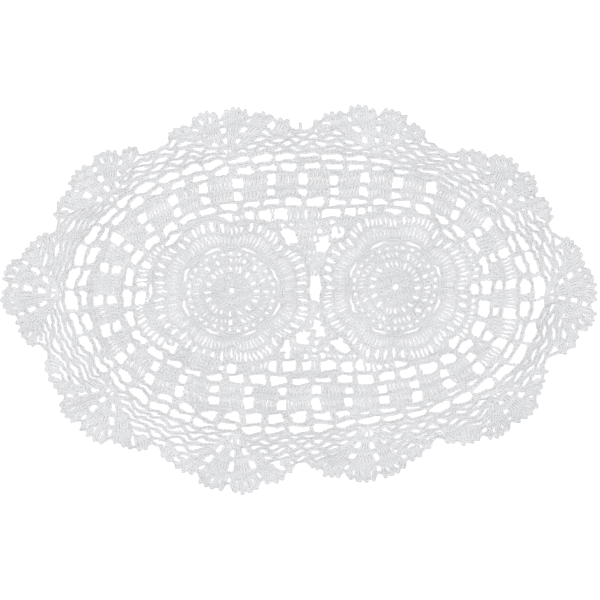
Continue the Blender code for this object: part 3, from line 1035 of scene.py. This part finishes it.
def rim_of(turn, base):
    """The reach of the outermost chain at each angle of a fan."""
    angle, reach = fan_angle(turn, base, EDGE_LINE)
    grid = np.arange(-90.0, 91.0)
    rim = np.full(len(grid), np.nan)
    for spot, middle in enumerate(grid):
        near = (np.abs(angle - middle) < 1.6) & (reach < FAN_REACH)
        if near.any():
            rim[spot] = reach[near].max()
    known = ~np.isnan(rim)
    return grid, np.interp(grid, grid[known], rim[known])


def fan_of(number, before):
    """A scallop's fan worked out: its tops, feet, the feet's angles and reaches, and its limits."""
    turn, base = SCALLOPS[number][:2]
    tops, feet, valley = scallop_feet(number, before)
    angle, reach = fan_angle(turn, base, np.array(feet))
    return {
        "turn": turn, "base": base, "tops": tops, "feet": feet, "valley": valley,
        "angle": angle, "reach": reach, "rim": rim_of(turn, base),
        "low": max(angle[0], -FAN_LIMIT), "high": min(angle[-1], FAN_LIMIT),
    }


def all_fans():
    fans = []
    before = place(SCALLOPS[-1][2], SCALLOPS[-1][3])
    for number in range(len(SCALLOPS)):
        fans.append(fan_of(number, before))
        before = fans[-1]["valley"]
    return fans


def fan_spot(fan, angle, fraction):
    """Points of a fan at a fraction of the way to its notches."""
    reach = np.interp(angle, fan["angle"], fan["reach"])
    return fan_point(fan["turn"], fan["base"], angle, fraction * reach)


def fan_marks(fan, row):
    """The angles where a fan's row has its gaps, each with its share of a full gap."""
    low, high = fan["low"], fan["high"]
    inner = range(1, len(fan["feet"]) - 1)
    deepest = sorted(inner, key=lambda foot: fan["reach"][foot])[:FAN_GAPS]
    marks = [
        (fan["angle"][foot], 1.0 if foot in deepest else SMALL_GAP_SHARE)
        for foot in inner if low + 4.0 < fan["angle"][foot] < high - 4.0
    ]
    if row == 0:
        full = [angle for angle, share in marks if share == 1.0]
        marks = [(0.5 * (left + right), 1.0) for left, right in zip(full[:-1], full[1:])]
    return [(low, 0.0)] + marks + [(high, 0.0)]


def lay_fan(fan, chains, posts):
    """The three rows of a scallop's fan, with a column of gaps below each notch."""
    fine = np.linspace(fan["low"], fan["high"], 60)
    for fraction in FAN_FRACTIONS:
        lay_chain(chains, fan_spot(fan, fine, fraction), width=FAN_CHAIN_WIDTH)
    lows = (FAN_START / 35.0,) + FAN_FRACTIONS[:-1]
    for row, (low, high) in enumerate(zip(lows, FAN_FRACTIONS)):
        marks = fan_marks(fan, row)
        for (left, left_share), (right, right_share) in zip(marks[:-1], marks[1:]):
            reach = np.interp(0.5 * (left + right), fan["angle"], fan["reach"])
            radius = (0.3 * low + 0.7 * high) * reach
            trim = np.degrees(0.5 * FAN_GAP_WIDTHS[row] / radius)
            start, stop = left + trim * left_share, right - trim * right_share
            arc = math.radians(stop - start) * high * reach
            if arc < 1.2:
                continue
            count = max(1, round(arc / FAN_POST_PITCH))
            angle = start + (stop - start) * (np.arange(count) + 0.5) / count
            width = post_width(math.radians(stop - start) * radius / count)
            lay_posts(posts, fan_spot(fan, angle, low), fan_spot(fan, angle, high), width)


def shell_rows(fan, middle, spread_angle, share):
    """Feet, halfway points and heads of a shell's stitches, by their share of its width."""
    grid, rim = fan["rim"]
    spots = middle + SHELL_BASE * (share - 0.5) * spread_angle
    feet = fan_spot(fan, np.clip(spots, fan["low"], fan["high"]), FAN_FRACTIONS[-1])
    heads = middle + SHELL_HEADS * (share - 0.5) * spread_angle
    reach = np.interp(heads, grid, rim) - RIM_MARGIN
    tips = fan_point(fan["turn"], fan["base"], heads, reach)
    return feet, feet + RIM_START * (tips - feet), tips


def lay_shells(fan, chains, posts, edge):
    """The shells of a scallop. It returns the ones at its sides, as loops."""
    sides = []
    for left, right, top in zip(fan["feet"][:-1], fan["feet"][1:], fan["tops"]):
        line, out, width = shell_edge(left, right, top, 40)
        angle, _ = fan_angle(fan["turn"], fan["base"], np.array([left, right]))
        count = max(2, round(width / SHELL_POST_PITCH))
        share = (np.arange(count) + 0.5) / count
        middle = 0.5 * (angle[0] + angle[1])
        if fan["low"] - 3.0 < middle < fan["high"] + 3.0:
            base, halfway, tips = shell_rows(fan, middle, angle[1] - angle[0], share)
            depth = length_of(np.array([base.mean(axis=0), tips.mean(axis=0)]))
            if min(width, depth) > SHELL_TWO_ROWS:
                lay_chain(chains, halfway)
                groups = max(2, round(width / RIM_GROUP))
                number = np.arange(groups * RIM_EACH)
                within = (number % RIM_EACH + 0.5) / RIM_EACH - 0.5
                low = (number // RIM_EACH + 0.5 + RIM_FEET * within) / groups
                high = (number // RIM_EACH + 0.5 + RIM_HEADS * within) / groups
                starts = shell_rows(fan, middle, angle[1] - angle[0], low)[1]
                ends = shell_rows(fan, middle, angle[1] - angle[0], high)[2]
                lay_posts(posts, starts, ends, post_width(RIM_HEADS * width / len(number)))
                tips = halfway
        else:
            foot = 0.5 * (left + right) - SIDE_SHELL_DEPTH * out
            near, far = foot - 0.5 * (right - left), foot + 0.5 * (right - left)
            base = foot + 0.9 * (share - 0.5)[:, None] * (right - left)
            even = np.linspace(0.0, 1.0, 40)
            inner = line - SHELL_INSET * out
            tips = np.stack([np.interp(share, even, inner[:, axis]) for axis in (0, 1)], -1)
            lay_chain(chains, np.array([near, far]))
            sides.append(np.array([left, near, far, right, top]))
        lay_posts(posts, base, tips, post_width(width / count))
        picots = max(1, round(width / PICOT_PITCH))
        for picot in range(picots):
            spot = round((picot + 0.5) / picots * 39)
            slope = line[min(spot + 1, 39)] - line[max(spot - 1, 0)]
            square = unit(np.array([slope[1], -slope[0]]))
            lay_picot(edge, line[spot] - PICOT_INSET * square, unit(out + square))
    return sides


def in_shells(fan, points):
    """Whether each point lies among the shells over a fan's rows."""
    angle, reach = fan_angle(fan["turn"], fan["base"], points)
    notch = np.interp(angle, fan["angle"], fan["reach"])
    return (angle > fan["low"]) & (angle < fan["high"]) & (reach > FAN_FRACTIONS[-1] * notch)


def lay_valley(fan, following, sides, chains):
    """The close rows of long chains between two fans, up to the valley."""
    lap = 1.0 if following["turn"] < fan["turn"] else 0.0
    turns = np.linspace(fan["turn"], following["turn"] + lap, VALLEY_SAMPLES)
    foot = ring_lines(RINGS - 1, turns)[1]
    valley_turn, valley_rise = turn_and_rise(fan["valley"][None])
    height = float(valley_rise[0]) - CHAIN_MARGIN - float(ring_lines(RINGS - 1, valley_turn)[1][0])
    rows = max(2, math.ceil(height / VALLEY_PITCH))
    for row in range(1, rows + 1 + VALLEY_MORE):
        swing = swung(turns, row, VALLEY_SWING, VALLEY_WAVE * chance.uniform(0.96, 1.04))
        line = place(turns, foot + height * row / rows + swing)
        angle, _ = fan_angle(fan["turn"], fan["base"], line)
        other, _ = fan_angle(following["turn"], following["base"], line)
        keep = (angle > fan["high"] - VALLEY_LAP) & (other < following["low"] + VALLEY_LAP)
        keep &= inside(LOOP_EDGE, line)
        if row > rows:
            keep &= np.hypot(*(line[:, None] - EDGE_LINE).transpose(2, 0, 1)).min(axis=1) > VALLEY_CLEAR
            keep &= ~in_shells(fan, line) & ~in_shells(following, line)
        for side in sides:
            keep &= ~inside(side, line)
        for first, last in runs(keep):
            if length_of(line[first:last]) > LEAST_RUN:
                lay_chain(chains, line[first:last], width=VALLEY_WIDTH)


def lay_border(chains, posts, edge):
    fans = all_fans()
    sides = []
    for fan in fans:
        lay_fan(fan, chains, posts)
        sides.append(lay_shells(fan, chains, posts, edge))
    for number, fan in enumerate(fans):
        following = (number + 1) % len(fans)
        lay_valley(fan, fans[following], sides[number] + sides[following], chains)
    lay_chain(edge, EDGE_LINE, closed=True, pitch=EDGE_PITCH)
    turn, low, high = LONE_PICOT
    lay_posts(posts, place(turn, low)[None], place(turn, high)[None])


def build():
    """All the thread, in pieces."""
    ground_chains, ground_posts = Yarn(), Yarn()
    lay_rings(ground_chains)
    lay_rows(ground_posts)
    lay_field(ground_chains, ground_posts)
    motif_chains, motif_posts = Yarn(), Yarn()
    for motif in MOTIFS:
        lay_motif(motif, motif_chains, motif_posts, ground_chains)
    border_chains, border_posts, edge_chains = Yarn(), Yarn(), Yarn()
    lay_border(border_chains, border_posts, edge_chains)
    yarns = {
        "ground_posts": ground_posts,
        "ground_chains": ground_chains,
        "motif_posts": motif_posts,
        "motif_chains": motif_chains,
        "border_posts": border_posts,
        "border_chains": border_chains,
        "edge_chains": edge_chains,
    }
    pieces = {}
    for name, yarn in yarns.items():
        pieces[name] = yarn.mesh(name)
    return pieces


# Cotton: colours of a ply's back and of the groove between two plies, the groove darker with
# painted shade, in linear light, the groove's depth, the fibres' depth and size, and the slow
# change of tone over the doily
RIDGE_COLOUR = (0.89, 0.886, 0.886, 1.0)
# Painted shade: the groove colour is the cotton drawn darker for the shade between two plies
GROOVE_PAINTED_SHADE_COLOUR = (0.85, 0.845, 0.85, 1.0)
PLY_DEPTH = 0.09
FIBRE_DEPTH = 0.05
FIBRE_STRETCH = (1.6, 14.0, 1.0)
FIBRE_ROUGHNESS = (0.78, 0.95)
TONE_SCALE = 26.0
TONE_RANGE = (0.96, 1.03)
SHEEN = 0.3


def add_node(tree, kind, **values):
    """A node of a kind, with its own settings."""
    node = tree.nodes.new("ShaderNode" + kind)
    for name, value in values.items():
        setattr(node, name, value)
    return node


def math_node(tree, operation, first, second=0.0):
    """A sum on two sockets or numbers."""
    node = add_node(tree, "Math", operation=operation)
    for socket, value in zip(node.inputs, (first, second)):
        if isinstance(value, float):
            socket.default_value = value
        else:
            tree.links.new(value, socket)
    return node.outputs[0]


def ply_profile(tree, side, way):
    """Nought in the groove between two plies and one on a ply's back, round the thread."""
    turns = math_node(tree, "ADD", side, math_node(tree, "DIVIDE", way, PLY_LAY))
    swing = math_node(tree, "SINE", math_node(tree, "MULTIPLY", turns, PLIES * math.pi))
    return math_node(tree, "ABSOLUTE", swing)


def fibre_noise(tree, thread):
    """Fine streaks that run along the thread."""
    mapping = add_node(tree, "Mapping")
    mapping.inputs["Scale"].default_value = FIBRE_STRETCH
    tree.links.new(thread, mapping.inputs["Vector"])
    noise = add_node(tree, "TexNoise")
    noise.inputs["Scale"].default_value = 1.0
    noise.inputs["Detail"].default_value = 4.0
    tree.links.new(mapping.outputs["Vector"], noise.inputs["Vector"])
    return noise.outputs["Fac"]


def slow_tone(tree):
    """A slow change of tone over the doily, as factors round one."""
    place_node = add_node(tree, "TexCoord")
    noise = add_node(tree, "TexNoise")
    noise.inputs["Scale"].default_value = TONE_SCALE
    noise.inputs["Detail"].default_value = 3.0
    tree.links.new(place_node.outputs["Object"], noise.inputs["Vector"])
    tone = add_node(tree, "MapRange")
    tree.links.new(noise.outputs["Fac"], tone.inputs["Value"])
    tone.inputs["From Min"].default_value = 0.3
    tone.inputs["From Max"].default_value = 0.7
    tone.inputs["To Min"].default_value, tone.inputs["To Max"].default_value = TONE_RANGE
    return tone.outputs["Result"]


def cotton():
    """Soft white crochet cotton of twisted plies, with shade painted a little darker in the grooves."""
    material = bpy.data.materials.new("cotton_thread")
    material.use_nodes = True
    tree = material.node_tree
    shader = tree.nodes["Principled BSDF"]
    thread = add_node(tree, "UVMap", uv_map="thread").outputs["UV"]
    parts = add_node(tree, "SeparateXYZ")
    tree.links.new(thread, parts.inputs["Vector"])
    profile = ply_profile(tree, parts.outputs["Y"], parts.outputs["X"])
    fibres = fibre_noise(tree, thread)

    # Painted shade: the ply profile mixes the darker groove colour into the creases between plies
    plies = add_node(tree, "Mix", data_type="RGBA")
    plies.inputs["A"].default_value = GROOVE_PAINTED_SHADE_COLOUR
    plies.inputs["B"].default_value = RIDGE_COLOUR
    tree.links.new(math_node(tree, "POWER", profile, 0.6), plies.inputs["Factor"])
    toned = add_node(tree, "VectorMath", operation="SCALE")
    tree.links.new(plies.outputs["Result"], toned.inputs["Vector"])
    tree.links.new(slow_tone(tree), toned.inputs["Scale"])
    tree.links.new(toned.outputs["Vector"], shader.inputs["Base Color"])

    rough = add_node(tree, "MapRange")
    tree.links.new(fibres, rough.inputs["Value"])
    rough.inputs["To Min"].default_value, rough.inputs["To Max"].default_value = FIBRE_ROUGHNESS
    tree.links.new(rough.outputs["Result"], shader.inputs["Roughness"])

    height = math_node(tree, "ADD", math_node(tree, "MULTIPLY", profile, PLY_DEPTH),
                       math_node(tree, "MULTIPLY", fibres, FIBRE_DEPTH))
    bump = add_node(tree, "Bump")
    bump.inputs["Distance"].default_value = MM
    tree.links.new(height, bump.inputs["Height"])
    tree.links.new(bump.outputs["Normal"], shader.inputs["Normal"])
    shader.inputs["Sheen Weight"].default_value = SHEEN
    return material


def dress(pieces):
    material = cotton()
    for piece in pieces.values():
        piece.data.materials.append(material)
        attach(piece, "root")
        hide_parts("doily")


# Floor, light and camera

FLOOR_REACH = 4.0


def build_stage():
    mesh = bpy.data.meshes.new("floor")
    reach = FLOOR_REACH
    corners = [(-reach, -reach, 0), (reach, -reach, 0), (reach, reach, 0), (-reach, reach, 0)]
    mesh.from_pydata(corners, [], [(0, 1, 2, 3)])
    floor = bpy.data.objects.new("floor", mesh)
    bpy.context.scene.collection.objects.link(floor)
    material = bpy.data.materials.new("pale_floor")
    material.use_nodes = True
    shader = material.node_tree.nodes["Principled BSDF"]
    shader.inputs["Base Color"].default_value = (0.9, 0.9, 0.9, 1.0)
    shader.inputs["Roughness"].default_value = 0.9
    shader.inputs["Emission Color"].default_value = (1.0, 1.0, 1.0, 1.0)
    shader.inputs["Emission Strength"].default_value = 0.45
    floor.data.materials.append(material)

    world = bpy.data.worlds.new("studio")
    bpy.context.scene.world = world
    world.use_nodes = True
    world.node_tree.nodes["Background"].inputs["Color"].default_value = (0.97, 0.98, 1.0, 1.0)
    world.node_tree.nodes["Background"].inputs["Strength"].default_value = 1.0

    lamp = bpy.data.lights.new("softbox", "AREA")
    lamp.size = 1.6
    lamp.energy = 4.0
    box = bpy.data.objects.new("softbox", lamp)
    box.location = (-0.8, 0.9, 1.6)
    direction = -box.location
    box.rotation_euler = direction.to_track_quat("-Z", "Y").to_euler()
    bpy.context.scene.collection.objects.link(box)


def build_camera():
    """Straight above, framed as the picture is."""
    camera = bpy.data.cameras.new("camera")
    camera.lens = LENS
    camera.sensor_width = SENSOR
    camera.clip_end = 20.0
    thing = bpy.data.objects.new("camera", camera)
    half = 0.5 * PICTURE_PIXELS
    across = (half - SHEET_MIDDLE_PIXEL[0]) * MM_PER_PIXEL
    along = -(half - SHEET_MIDDLE_PIXEL[1]) * MM_PER_PIXEL
    distance = half * MM_PER_PIXEL * LENS / (0.5 * SENSOR)
    thing.location = (across * MM, along * MM, (distance + MIDDLE_HEIGHT) * MM)
    bpy.context.scene.collection.objects.link(thing)
    bpy.context.scene.camera = thing
    bpy.context.scene.view_settings.view_transform = "Standard"


dress(build())
build_stage()
build_camera()
